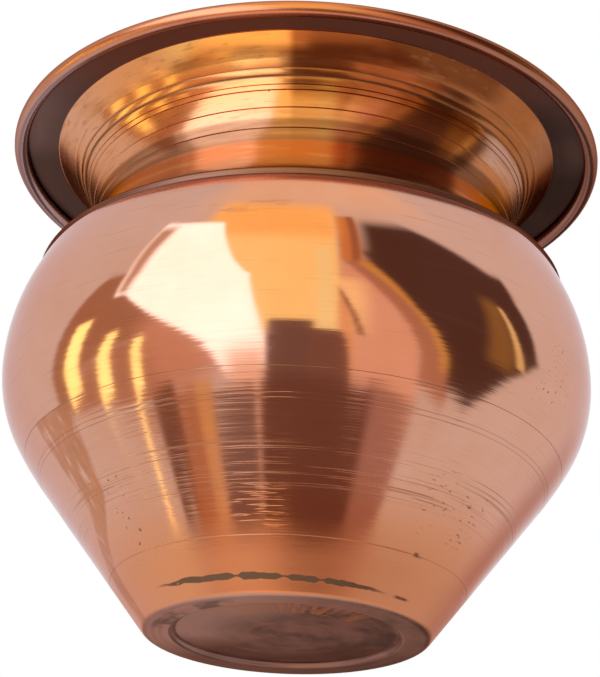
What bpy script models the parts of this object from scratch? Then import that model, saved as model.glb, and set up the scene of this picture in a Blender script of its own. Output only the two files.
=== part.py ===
"""Copper kalash: a water pot of two spun shells, a hooked-on neck and a rim rolled round a wire.

Every piece is turned, so each is a section spun about Z. A sheet's section follows the sheet
from one edge to the other in runs and bends, as it is rolled on the lathe.
Units are metres, +Z is up, and the pot stands on z = 0.
"""

import math

import bpy

# Sheet and fits
SHEET = 0.0006
CLEARANCE = 0.0003

# Base, with its flat foot ring round a raised disc
BASE_RADIUS = 0.0260
BASE_CORNER = 0.0018
FOOT_WIDTH = 0.0036
DISC_RISE = 0.0008
DISC_BEND = 0.0010

# Cone and belly. The belly joint is where the cone runs into the belly's curve
CONE_ANGLE = math.radians(37.6)
BELLY_RADIUS = 0.0560
BELLY_BEND = 0.0272
BELLY_LAP = 0.0040

# Shoulder, which runs out into a cone, and the set-in collar on top that the neck hooks over
SHOULDER_BEND = 0.0380
SHOULDER_ANGLE = math.radians(24)
SHOULDER_RUN = 0.0040
COLLAR_ROOT = 0.0012
COLLAR_HEIGHT = 0.0006

# Neck, from the hook inwards and up into a trumpet's curve
HOOK_INNER_BEND = 0.0002
SEAT_WIDTH = 0.0022
NECK_FOOT = 0.0070
NECK_STRAIGHT = 0.0045
NECK_BEND = 0.0210
FLARE_ANGLE = math.radians(54)

# Turned grooves on the trumpet's curve, measured along it
GROOVE_COUNT = 2
GROOVE_RISE = 0.0114
GROOVE_PITCH = 0.0014
GROOVE_WIDTH = 0.0006
GROOVE_DEPTH = 0.0002

# Brim, and the wire that its edge is rolled round
CREASE_BEND = 0.0010
BRIM_FLAT = 0.0070
WIRE_RADIUS = 0.0005

# Filler metal in the two joints
BRAZE_LEG = 0.0012

# Facets round the axis and round the wire, how far a bend's facets may stray from its arc,
# the angle between facets that still reads as a smooth curve, and the spin's weld on the axis
TURN_STEPS = 56
WIRE_SIDES = 8
FACET_ERROR = 0.00006
SMOOTH_ANGLE = math.radians(40)
WELD_DISTANCE = 0.00001

QUARTER = math.pi / 2

# Sizes that the pieces share
CONE_TOP_RADIUS = BELLY_RADIUS - BELLY_BEND * (1 - math.cos(CONE_ANGLE))
SEAM_HEIGHT = (CONE_TOP_RADIUS - BASE_RADIUS) / math.tan(CONE_ANGLE)
LIP_INSET = SHEET + CLEARANCE
LIP_BEND = BELLY_BEND - LIP_INSET
LIP_TURN = BELLY_LAP / LIP_BEND
SHOULDER_FALL = SHOULDER_BEND * (1 - math.cos(SHOULDER_ANGLE)) + SHOULDER_RUN * math.sin(SHOULDER_ANGLE)
COLLAR_SET_IN = LIP_INSET * math.cos(SHOULDER_ANGLE) + COLLAR_ROOT * (1 - math.cos(SHOULDER_ANGLE))
COLLAR_RADIUS = BELLY_RADIUS - SHOULDER_FALL - COLLAR_SET_IN
HOOK_BEND = HOOK_INNER_BEND + SHEET
HOOK_DROP = COLLAR_HEIGHT + SHEET + (COLLAR_ROOT - LIP_INSET) * math.sin(SHOULDER_ANGLE)
CURL_BEND = WIRE_RADIUS + CLEARANCE


class SheetPath:
    """A sheet's outer face, followed from edge to edge in (radius, height), with the sheet on its left."""

    def __init__(self, radius, height, heading):
        self.radius = radius
        self.height = height
        self.heading = heading
        self.outer = []
        self.inner = []
        self.mark_both()

    def at(self, ahead=0.0, left=0.0):
        """The point that lies this far ahead and to the left."""
        cos, sin = math.cos(self.heading), math.sin(self.heading)
        return (self.radius + ahead * cos - left * sin, self.height + ahead * sin + left * cos)

    def mark_both(self):
        self.outer.append(self.at())
        self.inner.append(self.at(left=SHEET))

    def run(self, length):
        """Straight on."""
        self.radius, self.height = self.at(ahead=length)
        self.mark_both()

    def bend(self, radius, turn):
        """Round an arc of the outer face. A positive turn is to the left."""
        side = math.copysign(1, turn)
        widest_step = 2 * math.acos(1 - FACET_ERROR / radius)
        steps = math.ceil(abs(turn) / widest_step)
        step = turn / steps
        for _ in range(steps):
            centre_radius, centre_height = self.at(left=side * radius)
            self.heading += step
            self.radius = centre_radius + side * radius * math.sin(self.heading)
            self.height = centre_height - side * radius * math.cos(self.heading)
            self.mark_both()

    def sidestep(self, shift, radius):
        """Over to a parallel line by two equal bends. A positive shift is to the left."""
        turn = math.copysign(math.acos(1 - abs(shift) / (2 * radius)), shift)
        self.bend(radius, turn)
        self.bend(radius, -turn)

    def groove(self, width, depth, bend):
        """A V cut into the outer face, along a chord of a bend to the right."""
        half_turn = math.asin(width / (2 * bend))
        self.heading -= half_turn
        self.outer += [self.at(width / 2, depth), self.at(width)]
        self.radius, self.height = self.at(ahead=width)
        self.heading -= half_turn

    def seat(self, inset):
        """A square step to the left on the outer face. The inner face steps at 45 degrees, early
        enough to keep the full sheet round the step's corner."""
        lead = seat_lead(inset)
        self.inner.append(self.at(inset, SHEET + inset))
        self.outer += [self.at(lead), self.at(lead, inset)]
        self.radius, self.height = self.at(lead, inset)

    def section(self):
        """Up the inner face, then down the outer one."""
        return self.inner + self.outer[::-1]


def seat_lead(inset):
    """How far ahead of the inner face's step the outer face's step is."""
    return inset + SHEET * (math.sqrt(2) - 1)


def sidestep_length(shift, radius):
    """How far a sidestep goes along its line."""
    return 2 * radius * math.sin(math.acos(1 - shift / (2 * radius)))


def bowl_path():
    """From the middle of the base out over the foot, up the cone and into the set-in lip."""
    corner_turn = QUARTER - CONE_ANGLE
    corner_tangent = BASE_CORNER * math.tan(corner_turn / 2)
    foot_inner = BASE_RADIUS - corner_tangent - FOOT_WIDTH
    cone_length = SEAM_HEIGHT / math.cos(CONE_ANGLE) - corner_tangent
    path = SheetPath(0, DISC_RISE, 0)
    path.run(foot_inner - sidestep_length(DISC_RISE, DISC_BEND))
    path.sidestep(-DISC_RISE, DISC_BEND)
    path.run(FOOT_WIDTH)
    path.bend(BASE_CORNER, corner_turn)
    path.run(cone_length - CLEARANCE - seat_lead(LIP_INSET))
    path.seat(LIP_INSET)
    path.run(CLEARANCE)
    path.bend(LIP_BEND, LIP_TURN)
    return path


def shell_path():
    """From the belly joint round the belly, up the shoulder and the set-in collar. Height 0 is the joint."""
    path = SheetPath(CONE_TOP_RADIUS, 0, QUARTER - CONE_ANGLE)
    path.bend(BELLY_BEND, CONE_ANGLE)
    path.bend(SHOULDER_BEND, SHOULDER_ANGLE)
    path.run(SHOULDER_RUN - seat_lead(LIP_INSET))
    path.seat(LIP_INSET)
    path.bend(COLLAR_ROOT, -SHOULDER_ANGLE)
    path.run(COLLAR_HEIGHT)
    return path


def neck_path():
    """From the hook's lower edge over the collar, up the neck, out along the brim and round the wire.

    Height 0 is the underside of the seat, just above the collar. Also gives the wire's centre."""
    curl_rise = math.asin(WIRE_RADIUS / (CURL_BEND + SHEET))
    groove_gap = GROOVE_PITCH - GROOVE_WIDTH
    path = SheetPath(COLLAR_RADIUS + CLEARANCE + SHEET, SHEET - HOOK_DROP, QUARTER)
    path.run(HOOK_DROP - HOOK_BEND)
    path.bend(HOOK_BEND, QUARTER)
    path.run(SEAT_WIDTH)
    path.bend(NECK_FOOT, -QUARTER)
    path.run(NECK_STRAIGHT)
    path.bend(NECK_BEND, -GROOVE_RISE / NECK_BEND)
    for _ in range(GROOVE_COUNT):
        path.groove(GROOVE_WIDTH, GROOVE_DEPTH, NECK_BEND)
        path.bend(NECK_BEND, -groove_gap / NECK_BEND)
    path.bend(NECK_BEND, QUARTER - FLARE_ANGLE - path.heading)
    path.bend(CREASE_BEND, -path.heading)
    path.run(BRIM_FLAT)
    wire_centre = path.at(left=-CURL_BEND)
    path.bend(CURL_BEND, -3 * QUARTER - curl_rise)
    return path, wire_centre


def belly_braze_section():
    """A fillet on the end of the lip, against the inside of the shell. Height 0 is the belly joint."""
    bend_centre = BELLY_RADIUS - BELLY_BEND
    bend_height = BELLY_BEND * math.sin(CONE_ANGLE)
    wall = LIP_BEND
    low = LIP_TURN - CONE_ANGLE + CLEARANCE / wall
    high = low + BRAZE_LEG / wall

    def polar(radius, angle):
        return (bend_centre + radius * math.cos(angle), bend_height + radius * math.sin(angle))

    return [polar(wall - BRAZE_LEG, low), polar(wall, high), polar(wall, low)]


def neck_braze_section():
    """A fillet between the collar's inner face and the seat's underside, which is height 0."""
    wall = COLLAR_RADIUS - SHEET - CLEARANCE
    roof = -CLEARANCE
    return [(wall - BRAZE_LEG, roof), (wall, roof), (wall, roof - BRAZE_LEG)]


def metal(name, colour, roughness):
    material = bpy.data.materials.new(name)
    material.use_nodes = True
    shader = material.node_tree.nodes["Principled BSDF"]
    shader.inputs["Base Color"].default_value = (*colour, 1)
    shader.inputs["Roughness"].default_value = roughness
    shader.inputs["Metallic"].default_value = 1
    return material


def finish(piece, height, pot, material):
    """Sets the piece in the pot at its height, in its metal, with round faces smooth."""
    piece.parent = pot
    piece.location.z = height
    piece.data.materials.append(material)
    piece.data.shade_smooth()
    piece.data.set_sharp_from_angle(angle=SMOOTH_ANGLE)


def turned(name, section, collection, closed=True):
    """Spins a section about Z. One that starts and ends on the axis isn't closed there."""
    last = len(section) - 1
    edges = [(i, i + 1) for i in range(last)]
    if closed:
        edges.append((last, 0))
    profile = bpy.data.meshes.new(name + "_section")
    profile.from_pydata([(radius, 0, height) for radius, height in section], edges, [])
    piece = bpy.data.objects.new(name, profile)
    collection.objects.link(piece)
    screw = piece.modifiers.new("spin", "SCREW")
    screw.axis = "Z"
    screw.steps = screw.render_steps = TURN_STEPS
    screw.use_merge_vertices = True
    screw.merge_threshold = WELD_DISTANCE
    spun = bpy.data.meshes.new_from_object(piece.evaluated_get(bpy.context.evaluated_depsgraph_get()))
    spun.name = name
    piece.modifiers.clear()
    piece.data = spun
    bpy.data.meshes.remove(profile)
    return piece


def wire_ring(name, radius, collection):
    bpy.ops.mesh.primitive_torus_add(
        major_radius=radius,
        minor_radius=WIRE_RADIUS,
        major_segments=TURN_STEPS,
        minor_segments=WIRE_SIDES,
    )
    piece = bpy.context.object
    piece.name = name
    piece.data.name = name
    for home in piece.users_collection:
        home.objects.unlink(piece)
    collection.objects.link(piece)
    return piece


def main():
    for old in list(bpy.data.objects):
        bpy.data.objects.remove(old)
    collection = bpy.data.collections.new("kalash_pot")
    bpy.context.scene.collection.children.link(collection)
    pot = bpy.data.objects.new("kalash", None)
    collection.objects.link(pot)

    polished = metal("polished_copper", (0.86, 0.48, 0.34), 0.16)
    shell_copper = metal("shell_copper", (0.88, 0.52, 0.38), 0.14)
    turned_copper = metal("turned_copper", (0.74, 0.40, 0.20), 0.30)
    wire_copper = metal("wire_copper", (0.70, 0.36, 0.22), 0.40)
    belly_filler = metal("belly_filler", (0.78, 0.56, 0.26), 0.45)
    neck_filler = metal("neck_filler", (0.76, 0.55, 0.28), 0.45)

    bowl = bowl_path()
    shell = shell_path()
    neck, (wire_ring_radius, wire_height) = neck_path()
    seat_height = SEAM_HEIGHT + shell.height + CLEARANCE

    lower_bowl = turned("lower_bowl", bowl.section(), collection, closed=False)
    finish(lower_bowl, 0, pot, polished)
    upper_shell = turned("upper_shell", shell.section(), collection)
    finish(upper_shell, SEAM_HEIGHT, pot, shell_copper)
    belly_braze = turned("belly_braze", belly_braze_section(), collection)
    finish(belly_braze, SEAM_HEIGHT, pot, belly_filler)
    neck_collar = turned("neck_collar", neck.section(), collection)
    finish(neck_collar, seat_height, pot, turned_copper)
    neck_braze = turned("neck_braze", neck_braze_section(), collection)
    finish(neck_braze, seat_height, pot, neck_filler)
    rim_wire = wire_ring("rim_wire", wire_ring_radius, collection)
    finish(rim_wire, seat_height + wire_height, pot, wire_copper)


main()
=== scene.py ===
"""Looks of the copper kalash: a hand-finished water pot of spun sheet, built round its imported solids.

Each sheet is drawn as a section in edit mode, spun about the pot's axis and given its thickness.
Units are metres, +Z is up, the pot stands on z = 0, and its front faces -Y.
"""

import math

import bpy
from mathutils import Matrix, Vector


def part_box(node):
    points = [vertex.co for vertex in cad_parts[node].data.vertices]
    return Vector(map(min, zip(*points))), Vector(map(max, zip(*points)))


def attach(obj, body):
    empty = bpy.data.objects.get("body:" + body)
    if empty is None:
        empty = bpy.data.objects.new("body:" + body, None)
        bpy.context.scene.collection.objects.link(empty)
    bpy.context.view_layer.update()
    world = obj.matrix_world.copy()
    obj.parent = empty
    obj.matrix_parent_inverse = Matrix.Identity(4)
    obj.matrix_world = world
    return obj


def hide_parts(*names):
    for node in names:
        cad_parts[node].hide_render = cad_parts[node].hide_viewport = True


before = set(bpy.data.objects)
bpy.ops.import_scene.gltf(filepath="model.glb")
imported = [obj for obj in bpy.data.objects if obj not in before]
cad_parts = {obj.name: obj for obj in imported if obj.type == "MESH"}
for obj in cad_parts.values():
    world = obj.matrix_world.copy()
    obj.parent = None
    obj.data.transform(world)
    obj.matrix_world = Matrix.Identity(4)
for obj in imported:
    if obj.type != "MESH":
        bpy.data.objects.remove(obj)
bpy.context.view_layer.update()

# Sheet and fits, as in the solids
SHEET = 0.0006
CLEARANCE = 0.0003

# Base, cone and belly
BASE_RADIUS = 0.0260
BASE_CORNER = 0.0018
FOOT_WIDTH = 0.0036
DISC_RISE = 0.0008
DISC_BEND = 0.0010
CONE_ANGLE = math.radians(37.6)
CONE_END = 0.0283
BELLY_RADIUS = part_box("upper_shell")[1].x
SOLID_BELLY_BEND = 0.0272
EASE_TURN = math.radians(8)
BELLY_LAP = 0.0040

# Shoulder and the collar that the neck hooks over
SHOULDER_BEND = 0.0380
SHOULDER_ANGLE = math.radians(24)
SHOULDER_RUN = 0.0040
COLLAR_ROOT = 0.0012
COLLAR_HEIGHT = 0.0006

# Neck, brim and rim
HOOK_INNER_BEND = 0.0002
SEAT_WIDTH = 0.0022
NECK_FOOT = 0.0070
NECK_STRAIGHT = 0.0045
NECK_BEND = 0.0210
FLARE_ANGLE = math.radians(54)
CREASE_BEND = 0.0010
BRIM_FLAT = 0.0070
WIRE_RADIUS = 0.0005
BRAZE_LEG = 0.0012

# Lines scored on the lathe: how far along its stretch, how wide, how deep, how dark its dirt is
DISC_SCORES = [(0.0150, 0.0006, 0.00001, 0)]
CONE_SCORE_HEIGHTS = [
    (0.0085, 0.00020, 0.000008, 0.25),
    (0.0272, 0.00018, 0.000012, 0.30),
    (0.0279, 0.00018, 0.000012, 0.30),
]
NECK_SCORES = [
    (0.0021, 0.00025, 0.000006, 0.10),
    (0.0060, 0.00025, 0.000008, 0.20),
    (0.0092, 0.00020, 0.000010, 0.35),
    (0.0102, 0.00020, 0.000010, 0.35),
    (0.0117, 0.00045, 0.00006, 0.9),
    (0.0131, 0.00035, 0.00005, 0.8),
    (0.0150, 0.00025, 0.00002, 0.7),
]

# Fineness of the meshes
TURN_STEPS = 256
CHORD_ERROR = 0.000004
WELD = 0.000001
EDGE_ROUND = 0.00004
EDGE_STEPS = 2
FACE_AREA_WEIGHT = 100
RING_REACH = 0.00005
SEAM_GAP = 0.00004
SMOOTH_ANGLE = math.radians(35)
BEVEL_ANGLE = math.radians(55)

# Measures of the finishes
MICRON = 0.000001
NO_TINT = (1, 1, 1)
DIRT_CORE = 0.3
DIRT_FADE = 0.4
ALONG_LATHE_LINES = 0.25

# Material slots. Solidify gives a sheet's outer faces the first and its inner faces the second.
OUTER = 0
INNER = 1
BASE_SLOT = 2
BRIM_SLOT = 2
BEAD_SLOT = 3
HOOK_SLOT = 4

QUARTER = math.pi / 2
FULL_TURN = 2 * math.pi

# The belly eases into the cone: a gentle bend from the cone's end, across the seam, up to the belly's
# own bend. The two bends are worked out so that the cone's end and the widest place stay where the
# solids have them.
SEAM_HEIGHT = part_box("upper_shell")[0].z
CONE_HEADING = QUARTER - CONE_ANGLE
EASE_HEADING = CONE_HEADING + EASE_TURN
SEAM_RISE = SEAM_HEIGHT - CONE_END
SOLID_SEAM_RADIUS = BELLY_RADIUS - SOLID_BELLY_BEND * (1 - math.cos(CONE_ANGLE))
CONE_END_RADIUS = SOLID_SEAM_RADIUS - SEAM_RISE * math.tan(CONE_ANGLE)
BEND_OUT = BELLY_RADIUS - CONE_END_RADIUS
BEND_UP = SEAM_HEIGHT + SOLID_BELLY_BEND * math.sin(CONE_ANGLE) - CONE_END
EASE_OUT = math.sin(EASE_HEADING) - math.sin(CONE_HEADING)
EASE_UP = math.cos(CONE_HEADING) - math.cos(EASE_HEADING)
TURN_OUT = 1 - math.sin(EASE_HEADING)
TURN_UP = math.cos(EASE_HEADING)
SPREAD = EASE_OUT * TURN_UP - TURN_OUT * EASE_UP
EASE_BEND = (BEND_OUT * TURN_UP - TURN_OUT * BEND_UP) / SPREAD
BELLY_BEND = (EASE_OUT * BEND_UP - EASE_UP * BEND_OUT) / SPREAD
SEAM_HEADING = math.acos(math.cos(CONE_HEADING) - SEAM_RISE / EASE_BEND)
SEAM_RADIUS = CONE_END_RADIUS + EASE_BEND * (math.sin(SEAM_HEADING) - math.sin(CONE_HEADING))

# Sizes that the pieces share
LIP_INSET = SHEET + CLEARANCE
LIP_BEND = EASE_BEND - LIP_INSET
SHOULDER_FALL = SHOULDER_BEND * (1 - math.cos(SHOULDER_ANGLE)) + SHOULDER_RUN * math.sin(SHOULDER_ANGLE)
COLLAR_SET_IN = LIP_INSET * math.cos(SHOULDER_ANGLE) + COLLAR_ROOT * (1 - math.cos(SHOULDER_ANGLE))
COLLAR_RADIUS = BELLY_RADIUS - SHOULDER_FALL - COLLAR_SET_IN
SEAT_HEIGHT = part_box("upper_shell")[1].z + CLEARANCE
HOOK_BEND = HOOK_INNER_BEND + SHEET
COLLAR_ROOT_RISE = (COLLAR_ROOT - LIP_INSET) * math.sin(SHOULDER_ANGLE)
HOOK_DROP = COLLAR_HEIGHT + SHEET + COLLAR_ROOT_RISE + CLEARANCE - SEAM_GAP
CURL_BEND = WIRE_RADIUS + CLEARANCE


class Outline:
    """A sheet's outer face, drawn in edit mode from edge to edge with the sheet on its left.

    The newest point stays selected, so each stretch carries on from there."""

    def __init__(self, name, radius, height, heading):
        self.radius = radius
        self.height = height
        self.heading = heading
        self.start = (radius, height)
        self.start_right = self.across(-1)
        self.scored = []
        bpy.ops.object.select_all(action="DESELECT")
        bpy.ops.mesh.primitive_plane_add(size=SHEET, location=(radius, 0, height))
        self.piece = bpy.context.object
        self.piece.name = name
        self.piece.data.name = name
        bpy.ops.object.transform_apply(location=True)
        bpy.ops.object.mode_set(mode="EDIT")
        bpy.ops.mesh.select_mode(type="VERT")
        bpy.ops.mesh.select_all(action="SELECT")
        bpy.ops.mesh.merge(type="CENTER")

    def across(self, left):
        """A step of this length to the left of the heading."""
        return Vector((-math.sin(self.heading), 0, math.cos(self.heading))) * left

    def stretch(self, length, bend=0.0):
        """On for a length, straight or round a bend whose radius is positive to the left."""
        here = Vector((self.radius, 0, self.height))
        if bend == 0:
            step = Vector((math.cos(self.heading), 0, math.sin(self.heading))) * length
            bpy.ops.mesh.extrude_region_move(TRANSFORM_OT_translate={"value": step})
            there = here + step
        else:
            turn = length / bend
            centre = here + self.across(bend)
            widest_step = 2 * math.acos(1 - CHORD_ERROR / abs(bend))
            steps = math.ceil(abs(turn) / widest_step)
            bpy.ops.mesh.spin(steps=steps, angle=turn, center=centre, axis=(0, 1, 0))
            self.heading += turn
            there = centre - self.across(bend)
        self.radius, self.height = there.x, there.z

    def leg(self, length, bend=0.0, scores=()):
        """A stretch with lathe-scored lines on it."""
        done = 0
        for place, width, depth, dirt in scores:
            self.stretch(place - width / 2 - done, bend)
            self.stretch(width / 2, bend)
            self.scored.append((self.radius, self.height, width, depth, dirt))
            self.stretch(width / 2, bend)
            done = place + width / 2
        self.stretch(length - done, bend)

    def corner(self, turn):
        self.heading += turn

    def turn_on_lathe(self):
        """Spins the outline about the pot's axis, with the faces looking away from the sheet."""
        bpy.ops.mesh.select_all(action="SELECT")
        bpy.ops.mesh.spin(
            steps=TURN_STEPS, angle=FULL_TURN, center=(0, 0, 0), axis=(0, 0, 1), use_auto_merge=True
        )
        bpy.ops.mesh.select_all(action="SELECT")
        bpy.ops.mesh.remove_doubles(threshold=WELD)
        bpy.ops.mesh.normals_make_consistent(inside=False)
        bpy.ops.object.mode_set(mode="OBJECT")

    def face_out(self):
        """Turns the faces over if the one at the outline's start looks into the sheet."""

        def from_start(face):
            return math.dist(self.start, (math.hypot(face.center.x, face.center.y), face.center.z))

        first = min(self.piece.data.polygons, key=from_start)
        around = math.atan2(first.center.y, first.center.x)
        looks = Matrix.Rotation(-around, 3, "Z") @ first.normal
        if looks.dot(self.start_right) < 0:
            bpy.ops.object.mode_set(mode="EDIT")
            bpy.ops.mesh.select_all(action="SELECT")
            bpy.ops.mesh.flip_normals()
            bpy.ops.object.mode_set(mode="OBJECT")

    def press_scores(self):
        """Presses each scored ring of the outer face into the sheet."""
        mesh = self.piece.data
        for radius, height, _, depth, _ in self.scored:
            for vertex in mesh.vertices:
                near = math.hypot(math.hypot(vertex.co.x, vertex.co.y) - radius, vertex.co.z - height)
                vertex.select = near < RING_REACH
            bpy.ops.object.mode_set(mode="EDIT")
            bpy.ops.transform.shrink_fatten(value=-depth)
            bpy.ops.object.mode_set(mode="OBJECT")


def apply_modifier(piece, kind, **settings):
    bpy.ops.object.select_all(action="DESELECT")
    bpy.context.view_layer.objects.active = piece
    piece.select_set(True)
    modifier = piece.modifiers.new(kind.lower(), kind)
    for setting, value in settings.items():
        setattr(modifier, setting, value)
    bpy.ops.object.modifier_apply(modifier=modifier.name)


def soften_edges(piece):
    apply_modifier(
        piece, "BEVEL", width=EDGE_ROUND, segments=EDGE_STEPS, limit_method="ANGLE", angle_limit=BEVEL_ANGLE
    )
    bpy.ops.object.shade_smooth_by_angle(angle=SMOOTH_ANGLE)
    apply_modifier(piece, "WEIGHTED_NORMAL", weight=FACE_AREA_WEIGHT, keep_sharp=True)


def sheet_piece(outline):
    """Spins an open outline and gives it the sheet's thickness. Inner faces take the second material."""
    piece = outline.piece
    outline.turn_on_lathe()
    outline.face_out()
    bpy.ops.object.mode_set(mode="EDIT")
    bpy.ops.mesh.select_mode(type="VERT")
    bpy.ops.mesh.select_all(action="DESELECT")
    bpy.ops.object.mode_set(mode="OBJECT")
    apply_modifier(
        piece, "SOLIDIFY", thickness=SHEET, offset=-1, use_even_offset=True, material_offset=INNER
    )
    outline.press_scores()
    soften_edges(piece)
    return piece


def ring_piece(outline):
    """Spins an outline that ends where it started."""
    outline.turn_on_lathe()
    bpy.ops.object.shade_smooth_by_angle(angle=SMOOTH_ANGLE)
    return outline.piece


def set_in_pot(piece, node):
    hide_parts(node)
    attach(piece, "root")


class Value:
    """A number that varies over a surface. An expression on values adds its Math nodes."""

    def __init__(self, finish, socket):
        self.finish = finish
        self.socket = socket

    def __add__(self, other):
        return self.finish.math("ADD", self, other)

    def __radd__(self, other):
        return self.finish.math("ADD", other, self)

    def __sub__(self, other):
        return self.finish.math("SUBTRACT", self, other)

    def __rsub__(self, other):
        return self.finish.math("SUBTRACT", other, self)

    def __mul__(self, other):
        return self.finish.math("MULTIPLY", self, other)

    def __rmul__(self, other):
        return self.finish.math("MULTIPLY", other, self)

    def __truediv__(self, other):
        return self.finish.math("DIVIDE", self, other)

    def __pow__(self, other):
        return self.finish.math("POWER", self, other)

    def __abs__(self):
        return self.finish.math("ABSOLUTE", self)

    def or_more(self, other):
        return self.finish.math("MAXIMUM", self, other)

    def rise(self, low, high):
        """0 up to low, 1 from high on, with a smooth step between."""
        settings = {"interpolation_type": "SMOOTHSTEP"}
        sockets = {"Value": self, "From Min": low, "From Max": high}
        return Value(self.finish, self.finish.node("ShaderNodeMapRange", settings, sockets).outputs[0])

    def fall(self, low, high):
        return self.rise(high, low)

    def along(self, low, high, start, end):
        """The start at low and the end at high, in a straight line through both."""
        settings = {"clamp": False}
        sockets = {"Value": self, "From Min": low, "From Max": high, "To Min": start, "To Max": end}
        return Value(self.finish, self.finish.node("ShaderNodeMapRange", settings, sockets).outputs[0])

    def near(self, centre, reach, soft):
        """1 within reach of the centre, falling to 0 over the soft edge."""
        return abs(self - centre).fall(reach, reach + soft)


class Finish:
    """The nodes of one material or of the world."""

    def __init__(self, owner):
        owner.use_nodes = True
        self.tree = owner.node_tree
        self.tree.nodes.clear()

    def node(self, kind, settings=None, sockets=None):
        """Adds a node, sets its settings, then fills its sockets with values or links."""
        made = self.tree.nodes.new(kind)
        for setting, value in (settings or {}).items():
            setattr(made, setting, value)
        for key, value in (sockets or {}).items():
            socket = made.inputs[key]
            if isinstance(value, Value):
                value = value.socket
            if isinstance(value, bpy.types.NodeSocket):
                self.tree.links.new(value, socket)
            elif socket.type == "RGBA":
                socket.default_value = (*value, 1)
            else:
                socket.default_value = value
        return made

    def math(self, operation, *numbers):
        made = self.node("ShaderNodeMath", {"operation": operation}, dict(enumerate(numbers)))
        return Value(self, made.outputs[0])

    def mix(self, share, under, over):
        """The under colour, with this share of the over colour."""
        sockets = {"Factor": share, 6: under, 7: over}
        return self.node("ShaderNodeMix", {"data_type": "RGBA"}, sockets).outputs[2]

    def vector(self, x, y, z):
        return self.node("ShaderNodeCombineXYZ", None, {0: x, 1: y, 2: z}).outputs[0]

    def split(self, vector):
        made = self.node("ShaderNodeSeparateXYZ", None, {0: vector})
        return [Value(self, output) for output in made.outputs]

    def noise(self, vector, scale, detail=2.0, roughness=0.5):
        sockets = {"Vector": vector, "Scale": scale, "Detail": detail, "Roughness": roughness}
        return Value(self, self.node("ShaderNodeTexNoise", None, sockets).outputs[0])


class TurnedFinish(Finish):
    """A finish on a turned piece, by the angle round the pot, the height and the radius."""

    def __init__(self, name, lean=0.6):
        """lean is the radius's share in the way across the lathe lines."""
        self.material = bpy.data.materials.new(name)
        super().__init__(self.material)
        coordinates = self.node("ShaderNodeTexCoord").outputs["Object"]
        self.place = coordinates
        x, y, self.height = self.split(coordinates)
        self.radius = (x * x + y * y) ** 0.5
        self.angle = self.math("ARCTAN2", x, 0 - y) * math.degrees(1)
        self.side = x / (self.radius + WELD)
        self.back = y / (self.radius + WELD)
        self.ring = self.height + self.radius * lean

    def lathe_noise(self, around, per_metre, detail=2.0):
        """Noise in lines that run round the pot: coarse around it, fine across the lines."""
        stretched = self.vector(self.side * around, self.back * around, self.ring * per_metre)
        return self.noise(stretched, 1.0, detail)

    def grain(self, per_degree, per_metre, seed, detail):
        """Noise that is stretched by a measure round the pot and another in height."""
        stretched = self.vector(self.angle * per_degree, self.height * per_metre, seed)
        return self.noise(stretched, 1.0, detail)

    def within(self, place):
        """1 in a place, given by its angles and its heights, falling to 0 over its soft edges."""
        angles, heights = place
        return self.angle.near(*angles) * self.height.near(*heights)

    def dirt_at(self, scored):
        """The dirt in the scored lines, by their height."""
        lines = 0
        for _, height, width, _, dirt in scored:
            line = self.height.near(height, width * DIRT_CORE, width * DIRT_FADE) * dirt
            lines = line if lines == 0 else lines.or_more(line)
        return lines

    def metal(self, colour, roughness, bumps, anisotropic=0.0, edge=NO_TINT, metallic=1.0):
        """Ends the finish. Each bump is a height from 0 to 1 and its depth in metres.

        edge is the tint at a grazing angle."""
        normal = None
        for height, depth in bumps:
            sockets = {"Height": height, "Distance": depth, "Strength": 1.0}
            if normal:
                sockets["Normal"] = normal
            normal = self.node("ShaderNodeBump", None, sockets).outputs[0]
        sockets = {"Base Color": colour, "Roughness": roughness, "Metallic": metallic, "Normal": normal}
        shader = self.node("ShaderNodeBsdfPrincipled", None, sockets)
        shader.inputs["Specular Tint"].default_value = (*edge, 1)
        shader.inputs["Anisotropic"].default_value = anisotropic
        shader.inputs["Anisotropic Rotation"].default_value = ALONG_LATHE_LINES
        self.node("ShaderNodeOutputMaterial", None, {"Surface": shader.outputs[0]})
        return self.material


# Colours of the buffed copper and of the marks on it
CLEAN_COPPER = (0.70, 0.38, 0.275)
WARM_COPPER = (0.66, 0.315, 0.195)
RUBBED_COPPER = (0.68, 0.27, 0.13)
HANDLED_COPPER = (0.58, 0.22, 0.10)
RUN_COPPER = (0.54, 0.22, 0.11)
DULL_COPPER = (0.42, 0.21, 0.13)
SCRATCH_BROWN = (0.36, 0.17, 0.105)
NICK_BROWN = (0.20, 0.085, 0.05)
DARK_OXIDE = (0.10, 0.055, 0.04)
GREY_STAIN = (0.125, 0.09, 0.065)

# Colours of the base
BASE_BROWN = (0.165, 0.112, 0.100)
BASE_COPPER = (0.36, 0.185, 0.15)
FOOT_COPPER = (0.52, 0.275, 0.215)
WIPED_COPPER = (0.62, 0.37, 0.31)
# Painted shade for the back half of the base
BASE_SHADE_BROWN = (0.17, 0.085, 0.072)
BURNISHED_COPPER = (0.60, 0.25, 0.12)
RING_COPPER = (0.40, 0.20, 0.155)

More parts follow.
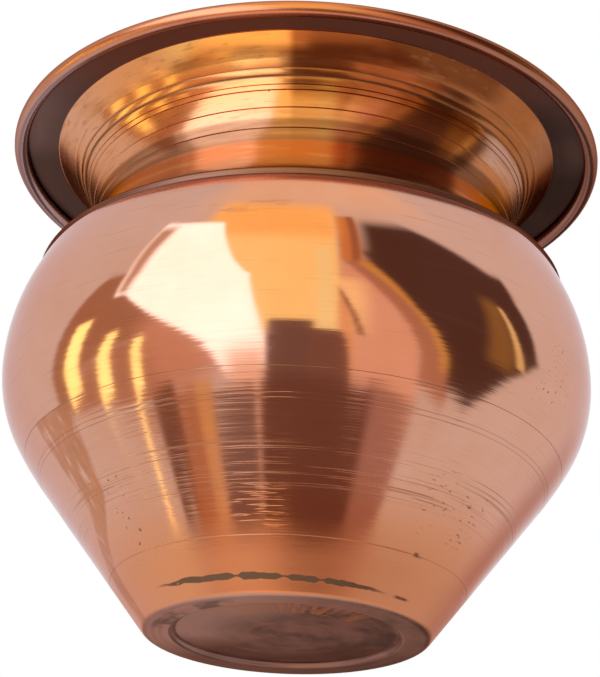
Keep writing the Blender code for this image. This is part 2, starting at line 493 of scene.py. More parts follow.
# Colours of the neck and its hook
NECK_GOLD = (0.72, 0.32, 0.17)
NECK_AMBER = (0.68, 0.29, 0.13)
FLARE_GOLD = (0.76, 0.29, 0.09)
# Painted light and shade on the neck: highlight, dark reflection, shade under the brim, mauve and pale
# reflections, a shaded patch, a pale band and a darker throat
HIGHLIGHT_GOLD = (0.97, 0.50, 0.14)
DARK_REFLECTION_GOLD = (0.30, 0.09, 0.028)
TOP_SHADE_GOLD = (0.12, 0.025, 0.006)
REFLECTED_MAUVE = (0.34, 0.19, 0.14)
REFLECTED_PALE = (0.70, 0.40, 0.28)
PALE_LIGHT_COPPER = (0.60, 0.40, 0.33)
SHADED_BROWN = (0.14, 0.05, 0.03)
THROAT_SHADE_RED = (0.42, 0.095, 0.028)
THROAT_SHADE_BROWN = (0.26, 0.10, 0.045)
STREAK_BROWN = (0.50, 0.21, 0.08)
TICK_BROWN = (0.36, 0.15, 0.06)
# Painted shade band round the neck
SHADE_BAND_BROWN = (0.22, 0.09, 0.05)
LINE_DIRT = (0.13, 0.06, 0.035)
HOOK_BROWN = (0.26, 0.118, 0.084)
HOOK_DARK = (0.165, 0.076, 0.055)

# Colours of the brim and its bead
BRIM_GREY = (0.20, 0.14, 0.13)
BRIM_BROWN = (0.26, 0.155, 0.125)
BRIM_STREAK = (0.13, 0.08, 0.07)
# Painted shade at the brim's sides and near the neck; the crust colour is partly painted light
BRIM_SIDE_SHADE = (0.09, 0.055, 0.045)
BRIM_INNER_SHADE = (0.09, 0.060, 0.055)
BRIM_CRUST_AND_LIGHT = (0.15, 0.055, 0.038)
BEAD_MAUVE = (0.50, 0.35, 0.345)
BEAD_CROWN = (0.60, 0.23, 0.12)
# Painted shade for the bead's right
BEAD_RIGHT_SHADE = (0.30, 0.115, 0.065)
BEAD_STREAK = (0.24, 0.12, 0.085)

# Colours of the inside, the wire and the fillers
INSIDE_PINK = (0.66, 0.375, 0.28)
INSIDE_BROWN = (0.52, 0.27, 0.18)
WATER_BROWN = (0.38, 0.21, 0.15)
WIRE_COPPER = (0.56, 0.29, 0.18)
WIRE_BROWN = (0.38, 0.19, 0.12)
FILLER_YELLOW = (0.62, 0.45, 0.21)
FLUX_BROWN = (0.26, 0.17, 0.10)

# Tints at a grazing angle
POLISH_EDGE = (0.88, 0.80, 0.84)
OXIDE_EDGE = (0.50, 0.37, 0.33)
NECK_EDGE = (0.84, 0.48, 0.31)
HOOK_EDGE = (0.34, 0.20, 0.15)

# Where marks lie: the middle, the reach to each side and the soft edge, round the pot and then in height
BELLY_PITS = ((57, 4, 3), (0.0410, 0.0055, 0.0010))
BELLY_SMUDGES = ((-9, 5, 4), (0.0592, 0.0008, 0.0010))
CONE_DASHES = ((-10, 5, 5), (0.0125, 0.0025, 0.0015))
CONE_NICKS = ((47, 9, 5), (0.0163, 0.0040, 0.0015))
CONE_SPOTS = ((-51, 3, 2), (0.0140, 0.0050, 0.0010))
CONE_MARK = ((42.5, 1.0, 1.5), (0.0086, 0.00015, 0.0003))
FOOT_MARK = ((45, 2.0, 3.0), (0.0022, 0.00008, 0.00025))
NECK_SHADE = ((54, 7, 6), (0.0810, 0.0025, 0.0015))
NECK_PALE_LIGHT = ((70, 14, 10), (0.0890, 0.0015, 0.0015))

# Zones by one measure only, given as a middle, a reach and a soft edge
SCRATCH_HEIGHTS = (0.0183, 0.0022, 0.0020)
SHADE_BAND_HEIGHTS = (0.0822, 0.0018, 0.0008)
BURNISHED_RADII = (0.0170, 0.0026, 0.0016)
PATCH_RADII = (0.0224, 0.0016, 0.0012)
STAIN_WAISTS = [(-18.3, 0.4, 2.5), (-1.4, 0.4, 2.5), (11.5, 0.4, 2.0)]

# Heights and radii between which a zone fades in or out
BELLY_LINES_FADE = (0.036, 0.047)
FOOT_RUB_FADE = (0.0045, 0.0130)
FOOT_RED_FADE = (0.0060, 0.0200)
HANDLED_FADE = (0.0080, 0.0200)
RUN_LEAN_FADE = (0.006, 0.019)
RUN_SPREAD_FADE = (0.012, 0.028)
FOOT_RING_FADE = (0.0205, 0.0216)
BASE_MIDDLE_FADE = (0.004, 0.018)
THROAT_FOOT_FADE = (0.0755, 0.0775)
THROAT_FADE = (0.0795, 0.0815)
FLARE_FADE = (0.084, 0.092)
DARK_REFLECTION_FADE = (0.0870, 0.0895)
HIGHLIGHT_FADE = (0.0925, 0.0945)
TOP_SHADE_FADE = (0.0940, 0.0955)
BRIM_INNER_SHADE_FADE = (0.0500, 0.0550)
CROWN_FADE = (0.0574, 0.0582)

STAIN_HEIGHT = 0.0026
STAIN_FALL = 0.000009
STAIN_WANDER = 0.0007
STAIN_HALF = 0.00040
STAIN_EDGE = 0.00014
CROWN_WANDER = 0.0006
NECK_LEAN = -0.4


def polish(finish, lined):
    """Colour, roughness and bumps of buffed copper. lined is the share of polishing lines."""
    clouds = finish.noise(finish.place, 32.0, 4.0, 0.6)
    lines = finish.lathe_noise(2.5, 1500.0, 4.0)
    hairs = finish.lathe_noise(4.0, 3800.0, 2.0)
    waves = finish.lathe_noise(1.3, 190.0, 2.0)
    colour = finish.mix(clouds.rise(0.40, 0.68) * 0.6, CLEAN_COPPER, WARM_COPPER)
    colour = finish.mix(lines.rise(0.55, 0.80) * lined * 0.4, colour, WARM_COPPER)
    colour = finish.mix(hairs.rise(0.60, 0.75) * 0.3, colour, DULL_COPPER)
    roughness = 0.06 + lines * lined * 0.07 + clouds.rise(0.5, 0.8) * 0.04
    return colour, roughness, [(waves, 10 * MICRON), (lines * lined, 16 * MICRON)]


def belly_polish():
    """The belly and shoulder: a mirror with lines towards the seam, pits at the right and a few smudges."""
    finish = TurnedFinish("belly_polish")
    lined = 0.15 + finish.height.fall(*BELLY_LINES_FADE) * 0.85
    colour, roughness, bumps = polish(finish, lined)
    pits = finish.grain(1.1, 1300.0, 2.0, 1.0).rise(0.67, 0.73) * finish.within(BELLY_PITS)
    smudges = finish.grain(0.14, 520.0, 5.0, 3.0).rise(0.50, 0.62) * finish.within(BELLY_SMUDGES)
    colour = finish.mix(smudges * 0.45, colour, DULL_COPPER)
    colour = finish.mix(pits * 0.7, colour, DARK_OXIDE)
    roughness = roughness + smudges * 0.15 + pits * 0.3
    return finish.metal(colour, roughness, bumps + [(1 - pits, 10 * MICRON)], edge=POLISH_EDGE)


def cone_polish(scored):
    """The cone, lined by the lathe: a rubbed foot, a dull run, a stain, scratches and nicks."""
    finish = TurnedFinish("cone_polish")
    height, angle = finish.height, finish.angle
    colour, roughness, bumps = polish(finish, 1.0)
    rubbed = height.fall(*FOOT_RUB_FADE)
    colour = finish.mix(height.fall(*FOOT_RED_FADE) * 0.85, colour, RUBBED_COPPER)
    handled = angle.near(42, 22, 18) * height.fall(*HANDLED_FADE)
    colour = finish.mix(handled * 0.6, colour, HANDLED_COPPER)
    scratches = finish.lathe_noise(1.6, 4200.0, 1.0).rise(0.60, 0.68) * height.near(*SCRATCH_HEIGHTS)
    colour = finish.mix(scratches * 0.65, colour, SCRATCH_BROWN)
    dashes = finish.lathe_noise(5.0, 2600.0, 1.0).rise(0.56, 0.70) * finish.within(CONE_DASHES)
    run_middle = -60 - 17 * height.fall(*RUN_LEAN_FADE)
    run_half = 3 + 3 * height.rise(*RUN_SPREAD_FADE)
    run_grain = finish.grain(0.55, 260.0, 0, 3.0)
    run = angle.near(run_middle, run_half, 2.0) * run_grain.rise(0.25, 0.50)
    colour = finish.mix(run * 0.9, colour, RUN_COPPER)
    colour = finish.mix(run * run_grain.rise(0.55, 0.70) * 0.5, colour, DULL_COPPER)
    spread = finish.grain(0.16, 500.0, 3.0, 3.0)
    stain_middle = STAIN_HEIGHT - angle * STAIN_FALL + (spread - 0.5) * STAIN_WANDER
    first, second, third = [angle.near(*waist) for waist in STAIN_WAISTS]
    waists = first.or_more(second).or_more(third)
    swell = finish.noise(finish.vector(angle * 0.30, 5.0, 0), 1.0, 2.0)
    stain_half = STAIN_HALF * angle.near(-8, 22, 28) * (0.55 + swell * 0.9) * (1 - waists * 0.85)
    stain = height.near(stain_middle, stain_half, STAIN_EDGE) * angle.near(-8, 36, 12)
    stain = stain * spread.rise(0.22, 0.34)
    colour = finish.mix(stain * 0.9, colour, GREY_STAIN)
    nicks = finish.grain(0.40, 2200.0, 0, 2.0).rise(0.61, 0.67) * finish.within(CONE_NICKS)
    nicks = nicks * finish.grain(0.12, 260.0, 9.0, 2.0).rise(0.40, 0.52)
    colour = finish.mix(nicks * 0.8, colour, NICK_BROWN)
    spots = finish.grain(0.7, 1000.0, 7.0, 1.0).rise(0.66, 0.71) * finish.within(CONE_SPOTS)
    low_marks = finish.within(CONE_MARK).or_more(finish.within(FOOT_MARK)) * spread.rise(0.35, 0.50)
    dirt = finish.dirt_at(scored).or_more(spots).or_more(low_marks)
    colour = finish.mix(dirt * 0.8, colour, DARK_OXIDE)
    worn = rubbed * 0.24 + scratches * 0.20 + run * 0.12 + stain * 0.30 + dirt * 0.25
    bumps = bumps + [(dashes, 10 * MICRON), (scratches, 4 * MICRON), (1 - dirt, 10 * MICRON)]
    return finish.metal(colour, roughness + worn, bumps, edge=POLISH_EDGE)


def base_oxide():
    """The underside of the base, brown from heat and hands, with burnished rings and grey-green stains, and
    painted shade over its back half.
    """
    finish = TurnedFinish("base_oxide")
    radius, angle = finish.radius, finish.angle
    ring_place = finish.vector(radius * 900.0, finish.side * 0.8, finish.back * 0.8)
    rings = finish.noise(ring_place, 1.0, 3.0)
    clouds = finish.noise(finish.place, 130.0, 5.0, 0.6)
    colour = finish.mix(clouds.rise(0.35, 0.68), BASE_BROWN, BASE_COPPER)
    colour = finish.mix(radius.rise(*FOOT_RING_FADE) * 0.7, colour, FOOT_COPPER)
    outer = radius.rise(*BASE_MIDDLE_FADE)
    wiped = angle.near(-60, 35, 45) * outer
    colour = finish.mix(wiped * 0.7, colour, WIPED_COPPER)
    # Painted shade: the back half of the base is darker, which also dulls the highlight on the wall of its
    # step.
    back_shade = (1 - angle.near(0, 95, 45)) * outer
    colour = finish.mix(back_shade * 0.75, colour, BASE_SHADE_BROWN)
    rays = finish.noise(finish.vector(angle * 0.30, radius * 160.0, 0), 1.0, 3.0)
    burnished = rays.rise(0.40, 0.60) * radius.near(*BURNISHED_RADII) * angle.near(5, 36, 20)
    colour = finish.mix(burnished * 0.85, colour, BURNISHED_COPPER)
    colour = finish.mix(rings.rise(0.50, 0.72) * 0.5, colour, RING_COPPER)
    stained = angle.near(-48, 26, 12).or_more(angle.near(62, 9, 6)) * radius.near(*PATCH_RADII)
    patches = finish.noise(finish.place, 95.0, 3.0).rise(0.46, 0.56) * stained
    colour = finish.mix(patches * 0.65, colour, GREY_STAIN)
    roughness = 0.26 + clouds * 0.2 + patches * 0.2
    return finish.metal(colour, roughness, [(rings, 10 * MICRON), (clouds, 20 * MICRON)], edge=OXIDE_EDGE)


def collar_satin(scored):
    """The turned neck: golden satin with lathe streaks and oxide in its lines, and painted light and shade:
    a highlight, reflections, shaded zones and a darker throat.
    """
    finish = TurnedFinish("collar_satin", NECK_LEAN)
    height, angle = finish.height, finish.angle
    turning = finish.lathe_noise(1.4, 2600.0, 4.0)
    streaks = finish.lathe_noise(3.0, 900.0, 3.0)
    ticks = finish.lathe_noise(14.0, 3400.0, 2.0)
    clouds = finish.noise(finish.place, 42.0, 3.0)
    colour = finish.mix(clouds.rise(0.40, 0.70) * 0.5, NECK_GOLD, NECK_AMBER)
    colour = finish.mix(height.rise(*FLARE_FADE) * 0.8, colour, FLARE_GOLD)
    # Painted highlight: a gold patch at the upper left of the neck.
    painted_highlight = angle.near(-18, 10, 9) * height.rise(*HIGHLIGHT_FADE)
    colour = finish.mix(painted_highlight * 0.8, colour, HIGHLIGHT_GOLD)
    # Painted reflection: the neck's right half is darkened as if it mirrored a dark card, more so up
    # towards the flare.
    painted_dark_reflection = angle.rise(-5.5, -3) * angle.fall(85, 125) * (0.75 + streaks.rise(0.35, 0.65) * 0.25)
    painted_dark_reflection = painted_dark_reflection * (0.5 + height.rise(*DARK_REFLECTION_FADE) * 0.5)
    colour = finish.mix(painted_dark_reflection * 0.95, colour, DARK_REFLECTION_GOLD)
    # Painted reflections of the pale surround: mauve at the right side, pale copper at the far left.
    colour = finish.mix(angle.near(102, 22, 22) * 0.7, colour, REFLECTED_MAUVE)
    colour = finish.mix(angle.near(-110, 35, 35) * 0.8, colour, REFLECTED_PALE)
    # Painted shade: near black high on the neck, right of the front, just under the brim.
    painted_top_shade = angle.near(31, 12, 9) * height.rise(*TOP_SHADE_FADE)
    colour = finish.mix(painted_top_shade * 0.75, colour, TOP_SHADE_GOLD)
    # Painted shade: a dark patch low on the neck's right.
    colour = finish.mix(finish.within(NECK_SHADE) * 0.7, colour, SHADED_BROWN)
    # Painted light: a pale band high on the neck's right.
    colour = finish.mix(finish.within(NECK_PALE_LIGHT) * 0.6, colour, PALE_LIGHT_COPPER)
    # Painted shade: the neck is darker and redder towards its foot, above the shoulder.
    colour = finish.mix(height.fall(*THROAT_FADE) * 0.9, colour, THROAT_SHADE_RED)
    colour = finish.mix(height.fall(*THROAT_FOOT_FADE) * 0.6, colour, THROAT_SHADE_BROWN)
    colour = finish.mix(streaks.rise(0.52, 0.70) * 0.5, colour, STREAK_BROWN)
    colour = finish.mix(ticks.rise(0.57, 0.72) * 0.4, colour, TICK_BROWN)
    # Painted shade: a dark band round the neck between its polished upper part and the throat.
    painted_shade_band = height.near(*SHADE_BAND_HEIGHTS) * (0.7 + streaks.rise(0.30, 0.60) * 0.3)
    colour = finish.mix(painted_shade_band * 0.75, colour, SHADE_BAND_BROWN)
    right = angle.near(70, 45, 30)
    dirt = finish.dirt_at(scored[:-1]).or_more(finish.dirt_at(scored[-1:]) * (0.3 + right * 0.7))
    dirt = dirt * (0.35 + turning.rise(0.35, 0.60) * 0.65)
    colour = finish.mix(dirt * 0.9, colour, LINE_DIRT)
    roughness = 0.13 + turning * 0.10 + dirt * 0.25
    bumps = [(streaks, 9 * MICRON), (turning, 8 * MICRON), (ticks, 4 * MICRON)]
    return finish.metal(colour, roughness, bumps, anisotropic=0.5, edge=NECK_EDGE)


def hook_shade():
    """The neck's hooked foot, dull brown where the buffing wheel cannot reach, and darker still as painted
    shade between the neck and the shoulder.
    """
    finish = TurnedFinish("hook_shade")
    streaks = finish.lathe_noise(2.0, 2400.0, 3.0)
    colour = finish.mix(streaks.rise(0.40, 0.65), HOOK_BROWN, HOOK_DARK)
    return finish.metal(colour, 0.34 + streaks * 0.15, [(streaks, 6 * MICRON)], edge=HOOK_EDGE)


def brim_shade():
    """The brim's underside: dark oxide, only wiped, with painted shade at its sides and near the neck, and
    at the front a matte oxide crust whose colour is partly painted light.
    """
    finish = TurnedFinish("brim_shade", NECK_LEAN)
    streaks = finish.lathe_noise(2.0, 1100.0, 3.0)
    clouds = finish.noise(finish.place, 70.0, 4.0)
    colour = finish.mix(clouds.rise(0.35, 0.70), BRIM_GREY, BRIM_BROWN)
    colour = finish.mix(streaks.rise(0.55, 0.80) * 0.4, colour, BRIM_STREAK)
    # Painted shade: darker at the brim's sides, towards the back.
    colour = finish.mix(abs(finish.angle).near(120, 28, 12) * 0.7, colour, BRIM_SIDE_SHADE)
    # Painted shade: darker near the neck, under the brim.
    colour = finish.mix(finish.radius.fall(*BRIM_INNER_SHADE_FADE) * 0.4, colour, BRIM_INNER_SHADE)
    # The front: an oxide crust, matte and less metallic, whose colour is partly painted light.
    crust_and_light = finish.angle.near(0, 42, 28)
    colour = finish.mix(crust_and_light * 0.9, colour, BRIM_CRUST_AND_LIGHT)
    roughness = 0.26 + clouds * 0.12 + crust_and_light * 0.15
    metallic = 1 - crust_and_light * 0.8
    return finish.metal(colour, roughness, [(streaks, 6 * MICRON)], edge=OXIDE_EDGE, metallic=metallic)


def rim_bead():
    """The rolled bead: a rubbed crown, orange mostly at the front as painted light, painted shade at the
    right, mauve where it meets the brim.
    """
    finish = TurnedFinish("rim_bead", NECK_LEAN)
    streaks = finish.lathe_noise(3.0, 1400.0, 3.0)
    clouds = finish.noise(finish.place, 60.0, 4.0)
    crown = (finish.radius + (clouds - 0.5) * CROWN_WANDER).rise(*CROWN_FADE)
    # The rub shows mostly at the front, where its orange is partly painted light.
    crown = crown * (0.3 + finish.angle.near(0, 45, 45) * 0.7)
    colour = finish.mix(crown, BEAD_MAUVE, BEAD_CROWN)
    # Painted shade: browner and darker at the right.
    colour = finish.mix(finish.angle.near(85, 58, 25) * 0.75, colour, BEAD_RIGHT_SHADE)
    colour = finish.mix(streaks.rise(0.56, 0.78) * 0.5, colour, BEAD_STREAK)
    return finish.metal(colour, 0.20 + clouds * 0.12, [(streaks, 8 * MICRON)], edge=OXIDE_EDGE)


def inside_copper():
    """The inside, dull pink and never buffed, with water lines."""
    finish = TurnedFinish("inside_copper")
    clouds = finish.noise(finish.place, 55.0, 5.0, 0.6)
    lines = finish.lathe_noise(1.8, 1200.0, 3.0)
    water_place = finish.vector(finish.side * 0.6, finish.back * 0.6, finish.height * 160.0)
    water = finish.noise(water_place, 1.0, 3.0)
    colour = finish.mix(clouds.rise(0.35, 0.70), INSIDE_PINK, INSIDE_BROWN)
    colour = finish.mix(water.rise(0.58, 0.72) * 0.5, colour, WATER_BROWN)
    return finish.metal(colour, 0.24 + clouds * 0.16, [(lines, 6 * MICRON), (clouds, 20 * MICRON)])


def drawn_wire():
    finish = TurnedFinish("drawn_wire")
    clouds = finish.noise(finish.place, 300.0, 3.0)
    colour = finish.mix(clouds.rise(0.35, 0.65), WIRE_COPPER, WIRE_BROWN)
    return finish.metal(colour, 0.35 + clouds * 0.15, [(clouds, 10 * MICRON)])


def filler_metal(name):
    """Brazing filler as it froze: yellowish, rippled, with flux stains."""
    finish = TurnedFinish(name)
    ripples = finish.noise(finish.place, 900.0, 2.0)
    flux = finish.noise(finish.place, 260.0, 4.0)
    colour = finish.mix(flux.rise(0.45, 0.65) * 0.7, FILLER_YELLOW, FLUX_BROWN)
    return finish.metal(colour, 0.32 + flux * 0.2, [(ripples, 60 * MICRON)])


def give_finishes(piece, finishes, choose=None):
    """Puts the finishes in the piece's slots. choose names another slot for some faces."""
    for material in finishes:
        piece.data.materials.append(material)
    if choose:
        for face in piece.data.polygons:
            radius = math.hypot(face.center.x, face.center.y)
            face.material_index = choose(face.material_index, radius, face.center.z)


def lower_bowl():
    corner_tangent = BASE_CORNER * math.tan(CONE_HEADING / 2)
    step_turn = math.acos(1 - DISC_RISE / (2 * DISC_BEND))
    step_length = 2 * DISC_BEND * math.sin(step_turn)
    disc_radius = BASE_RADIUS - corner_tangent - FOOT_WIDTH - step_length
    cone_length = CONE_END / math.cos(CONE_ANGLE) - corner_tangent
    cone_scores = [
        (height / math.cos(CONE_ANGLE) - corner_tangent, width, depth, dirt)
        for height, width, depth, dirt in CONE_SCORE_HEIGHTS
    ]
    outline = Outline("lower_bowl_spun", 0, DISC_RISE, 0)
    outline.leg(disc_radius, scores=DISC_SCORES)
    outline.leg(DISC_BEND * step_turn, -DISC_BEND)
    outline.leg(DISC_BEND * step_turn, DISC_BEND)
    outline.leg(FOOT_WIDTH)
    outline.leg(BASE_CORNER * CONE_HEADING, BASE_CORNER)
    outline.leg(cone_length, scores=cone_scores)
    outline.leg(EASE_BEND * (SEAM_HEADING - CONE_HEADING) - SEAM_GAP, EASE_BEND)
    outline.corner(QUARTER)
    outline.leg(LIP_INSET)
    outline.corner(-QUARTER)
    outline.leg(SEAM_GAP)
    outline.leg(BELLY_LAP, LIP_BEND)
    piece = sheet_piece(outline)

    def choose(slot, radius, _):
        return BASE_SLOT if slot == OUTER and radius < BASE_RADIUS else slot

    cone_marks = [mark for mark in outline.scored if mark[1] > DISC_RISE + SHEET]
    finishes = [cone_polish(cone_marks), inside_copper(), base_oxide()]
    give_finishes(piece, finishes, choose)
    set_in_pot(piece, "lower_bowl")


def upper_shell():
    outline = Outline("upper_shell_spun", SEAM_RADIUS, SEAM_HEIGHT, SEAM_HEADING)
    outline.leg(EASE_BEND * (EASE_HEADING - SEAM_HEADING), EASE_BEND)
    outline.leg(BELLY_BEND * (QUARTER - EASE_HEADING), BELLY_BEND)
    outline.leg(SHOULDER_BEND * SHOULDER_ANGLE, SHOULDER_BEND)
    outline.leg(SHOULDER_RUN)
    outline.corner(QUARTER)
    outline.leg(LIP_INSET)
    outline.corner(-QUARTER)
    outline.leg(COLLAR_ROOT * SHOULDER_ANGLE, -COLLAR_ROOT)
    outline.leg(COLLAR_HEIGHT)
    piece = sheet_piece(outline)
    give_finishes(piece, [belly_polish(), inside_copper()])
    set_in_pot(piece, "upper_shell")


def neck_collar():
    curl_rise = math.asin(WIRE_RADIUS / (CURL_BEND + SHEET))
    crease_turn = QUARTER - FLARE_ANGLE
    hook_radius = COLLAR_RADIUS + CLEARANCE + SHEET
    hook_foot = SEAT_HEIGHT + SHEET - HOOK_DROP
    outline = Outline("neck_collar_spun", hook_radius, hook_foot, QUARTER)
    outline.leg(HOOK_DROP - HOOK_BEND)
    outline.leg(HOOK_BEND * QUARTER, HOOK_BEND)
    outline.leg(SEAT_WIDTH)
    outline.leg(NECK_FOOT * QUARTER, -NECK_FOOT)
    outline.leg(NECK_STRAIGHT)
    outline.leg(NECK_BEND * FLARE_ANGLE, -NECK_BEND, NECK_SCORES)
    outline.leg(CREASE_BEND * crease_turn / 2, -CREASE_BEND)
    crease_height = outline.height
    outline.leg(CREASE_BEND * crease_turn / 2, -CREASE_BEND)
    outline.leg(BRIM_FLAT)
    curl_start = outline.radius - CURL_BEND - SHEET
    wire_centre = (outline.radius, outline.height - CURL_BEND)
    outline.leg(CURL_BEND * (3 * QUARTER + curl_rise), -CURL_BEND)
    piece = sheet_piece(outline)

    def choose(slot, radius, height):
        if radius > curl_start and height < wire_centre[1] + CURL_BEND - WELD:
            return BEAD_SLOT
        if slot == OUTER and height > crease_height:
            return BRIM_SLOT
        if slot == OUTER and height < SEAT_HEIGHT + SHEET - WELD:
            return HOOK_SLOT
        return slot

    finishes = [collar_satin(outline.scored), inside_copper(), brim_shade(), rim_bead(), hook_shade()]
    give_finishes(piece, finishes, choose)
    set_in_pot(piece, "neck_collar")
    return wire_centre


def rim_wire(centre):
    radius, height = centre
    outline = Outline("rim_wire_drawn", radius, height - WIRE_RADIUS, 0)
    outline.leg(WIRE_RADIUS * FULL_TURN, WIRE_RADIUS)
    piece = ring_piece(outline)
    give_finishes(piece, [drawn_wire()])
    set_in_pot(piece, "rim_wire")


FILLET_SAG = math.radians(25)
FILLET_BEND = BRAZE_LEG * math.sqrt(2) / (2 * math.sin(FILLET_SAG))


def hollow_face(outline, heading):
    """The fillet's slightly hollow face, from leg to leg."""
    outline.heading = heading - FILLET_SAG
    outline.leg(FILLET_BEND * 2 * FILLET_SAG, FILLET_BEND)


def belly_braze():
    """The filler on the end of the lip, against the inside of the shell."""
    out = Vector((math.sin(SEAM_HEADING), 0, -math.cos(SEAM_HEADING)))
    bend_centre = Vector((SEAM_RADIUS, 0, SEAM_HEIGHT)) - out * EASE_BEND
    low = (BELLY_LAP + CLEARANCE) / LIP_BEND + SEAM_HEADING - QUARTER
    start = bend_centre + Vector((math.cos(low), 0, math.sin(low))) * LIP_BEND
    outline = Outline("belly_braze_fillet", start.x, start.z, low + math.pi)
    outline.leg(BRAZE_LEG)
    hollow_face(outline, low + QUARTER / 2)
    outline.heading = low + BRAZE_LEG / LIP_BEND - QUARTER
    outline.leg(BRAZE_LEG, -LIP_BEND)
    piece = ring_piece(outline)
    give_finishes(piece, [filler_metal("belly_filler")])
    set_in_pot(piece, "belly_braze")


def neck_braze():
    """The filler between the shoulder's collar and the underside of the neck's seat."""
    wall = COLLAR_RADIUS - SHEET - CLEARANCE
    roof = SEAT_HEIGHT - CLEARANCE
    outline = Outline("neck_braze_fillet", wall, roof, -QUARTER)
    outline.leg(BRAZE_LEG)
    hollow_face(outline, 3 * QUARTER / 2)
    outline.heading = 0
    outline.leg(BRAZE_LEG)
    piece = ring_piece(outline)
    give_finishes(piece, [filler_metal("neck_filler")])
    set_in_pot(piece, "neck_braze")


# The studio that the copper mirrors: cards, lamps and black flags, each painted over the ones before it.
# Each has a soft edge and a colour, then its height and its left and right at the foot and at the top.
# Angles are in degrees, around from the front and up from level.
CAMERA_WHITE = (1, 1, 1)
SURROUND = (0.89, 0.87, 0.87)
BLACK_FLAG = (0.118, 0.064, 0.051)
SOFT_BOX = (2.3, 2.6, 2.8)
STRIP_LAMP = (2.5, 2.45, 1.05)
STUDIO_CARDS = [
    ("ceiling wash", 13, (1.12, 0.94, 0.72), (60, -62, 75), (110, -62, 75)),
    ("floor wash", 3, (0.95, 0.67, 0.45), (-100, -75, 62), (-49, -75, 62)),
    ("left card top", 2, (0.52, 0.30, 0.19), (-18, -116, -30), (27, -78, -60)),
    ("left card foot", 2, (0.60, 0.35, 0.24), (-40, -75, -30), (-18, -113, -40)),
    ("left card glow", 7, (0.82, 0.50, 0.36), (-42, -66, -30), (-8, -62, -40)),
    ("peach card", 4, (1.04, 0.70, 0.54), (-47, 10, 62), (30, 10, 20)),
    ("cream card", 5, (1.42, 1.20, 0.68), (-28, 8, 26), (14, 8, 22)),
    ("brown frame", 2, (0.61, 0.34, 0.227), (-38, 56, 73), (30, 15, 29)),
    ("gold frame", 1.5, (0.876, 0.547, 0.167), (-30, 61, 68), (30, 20, 27)),
    ("upper flag", 4, BLACK_FLAG, (31, 24, 88), (53, 27, 50)),
    ("middle flag", 2, BLACK_FLAG, (0, 43, 100), (35, 23, 87)),
    ("lower flag", 2, BLACK_FLAG, (-33, 68, 82), (2, 42, 100)),
    ("amber post", 1, (0.876, 0.416, 0.14), (29, 14.5, 23), (56, 15, 25)),
    ("brown post", 0.8, (0.46, 0.21, 0.118), (29, 19, 22), (56, 21, 24.5)),
    ("olive card", 4, (0.34, 0.21, 0.075), (-14, 76, 90), (22, 70, 78)),
    ("gold strip", 1.2, (1.1, 0.95, 0.45), (-8, 90, 95), (20, 78, 80)),
    ("orange wedge", 1.5, (1.13, 0.70, 0.38), (-45, 18, 26), (16, 9.5, 11)),
    ("thin strip", 0.8, (0.46, 0.24, 0.14), (-28, 23, 26.5), (9, 11.5, 13)),
    ("warm card", 1.2, (1.49, 1.33, 0.59), (-30, -15, 13), (58, -44, 14)),
    ("warm card top", 5, (1.45, 1.00, 0.34), (42, -44, 14), (63, -46, 16)),
    ("pale card", 2, (1.38, 1.42, 0.75), (-28, 7, 14), (36, 5, 11)),
    ("soft box top", 1.2, SOFT_BOX, (13, -71, -18.5), (50, -66, -36.5)),
    ("soft box foot", 1.2, SOFT_BOX, (-43, -34, -13), (16, -68, -18.8)),
    ("soft box edge", 2.5, (0.75, 0.58, 0.47), (14, -70, -66), (48, -66, -58)),
    ("soft box hem", 6, (1.25, 0.95, 0.75), (-52, -33, -14), (-37, -33, -14)),
    ("red card", 2, (0.60, 0.30, 0.157), (-50, -72, -50), (-42.5, -66, -50)),
    ("orange card", 2, (0.89, 0.57, 0.245), (-50, -54, -44), (-43, -52, -42)),
    ("mauve card", 2, (0.27, 0.175, 0.155), (-58, -46, -22), (-48, -46, -22)),
    ("right mauve card", 1.5, (0.505, 0.317, 0.28), (-60, 35, 60), (-43.5, 35, 63)),
    ("centre flag", 1.5, (0.24, 0.15, 0.13), (-50, -16, 6), (-20.5, -11.5, 5.5)),
    ("centre flag step", 1.5, (0.27, 0.15, 0.12), (-50, 4, 28), (-26.5, 4, 16.5)),
    ("low flag", 3, (0.20, 0.095, 0.07), (-64, -26, 46), (-47, -18, 40)),
    ("dark post", 1.5, (0.24, 0.125, 0.09), (-44.5, -78, -62), (-38.5, -72, -60)),
    ("first strip lamp", 1.2, STRIP_LAMP, (-20, -108, -98), (4, -88, -80)),
    ("second strip lamp", 1.2, STRIP_LAMP, (-29, -95, -86), (-9, -75, -70)),
    ("third strip lamp", 0.8, STRIP_LAMP, (-35, -78, -72.5), (-18, -65, -61)),
    ("strip lamp foot", 0.8, STRIP_LAMP, (-40.5, -90, -87), (-35, -77.2, -74.5)),
    ("under card", 2, (1.50, 1.05, 0.65), (-82, -75, -2), (-58.5, -75, -2)),
    ("right shade", 9, (0.64, 0.44, 0.37), (-16, 136, 170), (7, 142, 170)),
    ("back card", 3, (0.52, 0.43, 0.44), (-50, -174, -145), (-8, -174, -145)),
    ("back flag", 3, (0.12, 0.08, 0.07), (-50, 145, 178), (-8, 145, 178)),
]


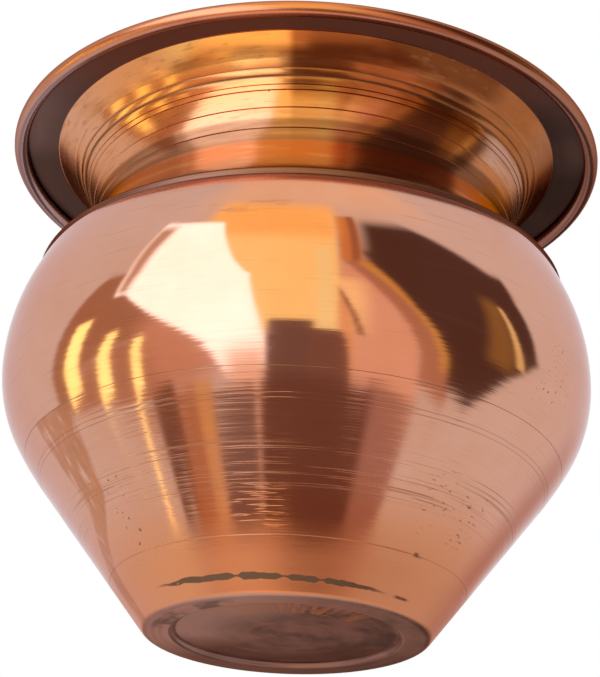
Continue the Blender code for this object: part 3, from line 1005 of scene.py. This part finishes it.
def studio():
    """A near-white surround with the cards in it. The camera itself sees plain white."""
    world = bpy.data.worlds.new("studio")
    bpy.context.scene.world = world
    finish = Finish(world)
    x, y, z = finish.split(finish.node("ShaderNodeTexCoord").outputs["Generated"])
    around = finish.math("ARCTAN2", x, 0 - y) * math.degrees(1)
    up = finish.math("ARCSINE", z) * math.degrees(1)
    colour = SURROUND
    for _, soft, card_colour, foot, top in STUDIO_CARDS:
        left = up.along(foot[0], top[0], foot[1], top[1])
        right = up.along(foot[0], top[0], foot[2], top[2])
        across = (around - left).rise(-soft, soft) * (right - around).rise(-soft, soft)
        upright = up.rise(foot[0] - soft, foot[0] + soft) * up.fall(top[0] - soft, top[0] + soft)
        colour = finish.mix(across * upright, colour, card_colour)
    surround = finish.node("ShaderNodeBackground", None, {"Color": colour})
    white = finish.node("ShaderNodeBackground", None, {"Color": CAMERA_WHITE})
    seen = finish.node("ShaderNodeLightPath").outputs["Is Camera Ray"]
    both = finish.node(
        "ShaderNodeMixShader", None, {0: seen, 1: surround.outputs[0], 2: white.outputs[0]}
    )
    finish.node("ShaderNodeOutputWorld", None, {"Surface": both.outputs[0]})


FLOOR_RADIUS = 0.9
FLOOR_SOLID_SHARE = 0.3
FLOOR_SIDES = 96
FLOOR_DROP = 0.0002
FLOOR_PAINT = (0.86, 0.85, 0.84)


def floor():
    """A pale floor that shows from above only, because the photograph looks at the base from below."""
    bpy.ops.object.select_all(action="DESELECT")
    bpy.ops.mesh.primitive_circle_add(
        vertices=FLOOR_SIDES, radius=FLOOR_RADIUS, fill_type="NGON", location=(0, 0, -FLOOR_DROP)
    )
    piece = bpy.context.object
    piece.name = "floor"
    material = bpy.data.materials.new("pale_floor")
    finish = Finish(material)
    x, y, _ = finish.split(finish.node("ShaderNodeTexCoord").outputs["Object"])
    far = ((x * x + y * y) ** 0.5).rise(FLOOR_RADIUS * FLOOR_SOLID_SHARE, FLOOR_RADIUS)
    below = Value(finish, finish.node("ShaderNodeNewGeometry").outputs["Backfacing"])
    paint = finish.node("ShaderNodeBsdfDiffuse", None, {"Color": FLOOR_PAINT})
    clear = finish.node("ShaderNodeBsdfTransparent")
    shown = finish.node(
        "ShaderNodeMixShader", None, {0: far.or_more(below), 1: paint.outputs[0], 2: clear.outputs[0]}
    )
    finish.node("ShaderNodeOutputMaterial", None, {"Surface": shown.outputs[0]})
    piece.data.materials.append(material)
    piece.visible_diffuse = False
    piece.visible_glossy = False
    piece.visible_transmission = False
    piece.visible_shadow = False


# The photograph's camera, found by fitting the pot's rings: in front of the pot and below its foot
CAMERA_PLACE = Vector((0, -0.3252, -0.0919))
CAMERA_YAW = 0.0009
CAMERA_PITCH = 0.4367
CAMERA_ROLL = 0.0413
CAMERA_LENS_PIXELS = 1842.0
PHOTO_HEIGHT_PIXELS = 677
SENSOR_MM = 36.0
CLIP_START = 0.01


def camera():
    data = bpy.data.cameras.new("photo_camera")
    data.sensor_width = SENSOR_MM
    data.lens = CAMERA_LENS_PIXELS / PHOTO_HEIGHT_PIXELS * SENSOR_MM
    data.clip_start = CLIP_START
    holder = bpy.data.objects.new("photo_camera", data)
    bpy.context.scene.collection.objects.link(holder)
    turn = Matrix.Rotation(-CAMERA_YAW, 4, "Z")
    tilt = Matrix.Rotation(QUARTER + CAMERA_PITCH, 4, "X")
    roll = Matrix.Rotation(CAMERA_ROLL, 4, "Z")
    holder.matrix_world = Matrix.Translation(CAMERA_PLACE) @ turn @ tilt @ roll
    bpy.context.scene.camera = holder


lower_bowl()
upper_shell()
rim_wire(neck_collar())
belly_braze()
neck_braze()
studio()
floor()
camera()
bpy.context.scene.view_settings.view_transform = "Standard"
